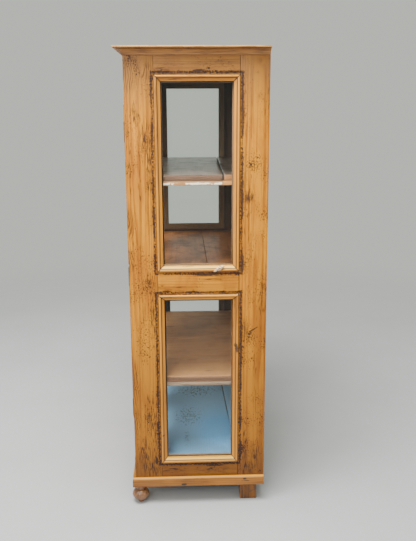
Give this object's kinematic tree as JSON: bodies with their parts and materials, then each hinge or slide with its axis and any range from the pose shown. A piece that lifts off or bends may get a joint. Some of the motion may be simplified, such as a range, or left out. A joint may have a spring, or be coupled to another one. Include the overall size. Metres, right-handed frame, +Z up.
{
  "type": "glazed pantry cabinet",
  "caption": "Tall pine cabinet with glazed doors and glazed panelled ends, shelves, cornice, plinth, bun feet in front and block feet behind.",
  "frame": {"origin": "middle of the overall box on the floor", "axes": "+Z up, +X to the right of someone facing the doors, the doors face -Y"},
  "size_m": [1.052, 0.587, 1.89],
  "materials": {
    "waxed_pine": "old waxed pine, satin",
    "moulding_pine": "waxed pine moulding, satin",
    "turned_pine": "dark polished pine",
    "inside_pine": "aged bare pine, matt",
    "shelf_pine": "worn brown pine, soft gloss on top",
    "painted_pine": "blue-grey paint, worn",
    "bead_pine": "dark glazing bead, matt",
    "window_glass": "clear old drawn glass",
    "iron": "dark iron, waxed",
    "steel": "dull steel",
    "brass": "aged brass"
  },
  "bodies": {
    "cabinet": {"back_boards": "inside_pine", "base_cove": "waxed_pine", "base_frame": "inside_pine", "block_feet": "turned_pine", "bun_feet": "turned_pine", "cornice": "waxed_pine", "floor_boards": "painted_pine", "frieze_rail": "waxed_pine", "front_base_rail": "waxed_pine", "hinge_frame_leaves": "iron", "hinge_pins": "iron", "left_back_stile": "waxed_pine", "left_bottom_rail": "waxed_pine", "left_face_stile": "waxed_pine", "left_front_stile": "waxed_pine", "left_mid_rail": "waxed_pine", "left_side_mouldings": "moulding_pine", "left_top_rail": "waxed_pine", "lower_shelf": "shelf_pine", "middle_shelf": "shelf_pine", "plinth": "waxed_pine", "right_back_stile": "waxed_pine", "right_bottom_rail": "waxed_pine", "right_face_stile": "waxed_pine", "right_front_stile": "waxed_pine", "right_mid_rail": "waxed_pine", "right_side_mouldings": "moulding_pine", "right_top_rail": "waxed_pine", "shelf_cleats": "inside_pine", "side_beads": "bead_pine", "side_panes": "window_glass", "slide_bolt_keepers": "iron", "top_board": "inside_pine", "upper_shelf": "shelf_pine"},
    "left_door": {"left_door_beads": "bead_pine", "left_door_bottom_rail": "waxed_pine", "left_door_hinge_stile": "waxed_pine", "left_door_meeting_stile": "waxed_pine", "left_door_mid_rail": "waxed_pine", "left_door_mouldings": "moulding_pine", "left_door_panes": "window_glass", "left_door_top_rail": "waxed_pine", "left_hinge_leaves": "iron", "lock_keeper": "iron", "slide_bolt_guides": "iron"},
    "right_door": {"right_door_beads": "bead_pine", "right_door_bottom_rail": "waxed_pine", "right_door_hinge_stile": "waxed_pine", "right_door_meeting_stile": "waxed_pine", "right_door_mid_rail": "waxed_pine", "right_door_mouldings": "moulding_pine", "right_door_panes": "window_glass", "right_door_top_rail": "waxed_pine", "right_hinge_leaves": "iron", "lock_case": "iron", "escutcheon": "brass"},
    "key": {"key": "steel"},
    "lock_bolt": {"lock_bolt": "steel"},
    "top_bolt": {"top_slide_bolt": "iron"},
    "bottom_bolt": {"bottom_slide_bolt": "iron"}
  },
  "joints": [
    {"name": "left_door_hinge", "type": "hinge", "parent": "cabinet", "child": "left_door", "pos_m": [-0.411, -0.2623, 0.996], "axis": [0, 0, -1], "range_deg": [0, 110]},
    {"name": "right_door_hinge", "type": "hinge", "parent": "cabinet", "child": "right_door", "pos_m": [0.411, -0.2623, 0.996], "axis": [0, 0, 1], "range_deg": [0, 110]},
    {"name": "key_turn", "type": "hinge", "parent": "right_door", "child": "key", "pos_m": [0.0255, -0.245, 0.9855], "axis": [0, 1, 0], "range_deg": [0, 360]},
    {"name": "lock_bolt_slide", "type": "slide", "parent": "right_door", "child": "lock_bolt", "axis": [-1, 0, 0], "range_m": [0, 0.011]},
    {"name": "top_bolt_slide", "type": "slide", "parent": "left_door", "child": "top_bolt", "axis": [0, 0, 1], "range_m": [0, 0.016]},
    {"name": "bottom_bolt_slide", "type": "slide", "parent": "left_door", "child": "bottom_bolt", "axis": [0, 0, -1], "range_m": [0, 0.016]}
  ],
  "couplings": [
    {"joint": "key_turn", "follows": "lock_bolt_slide", "rad_per_m": 571.1}
  ]
}
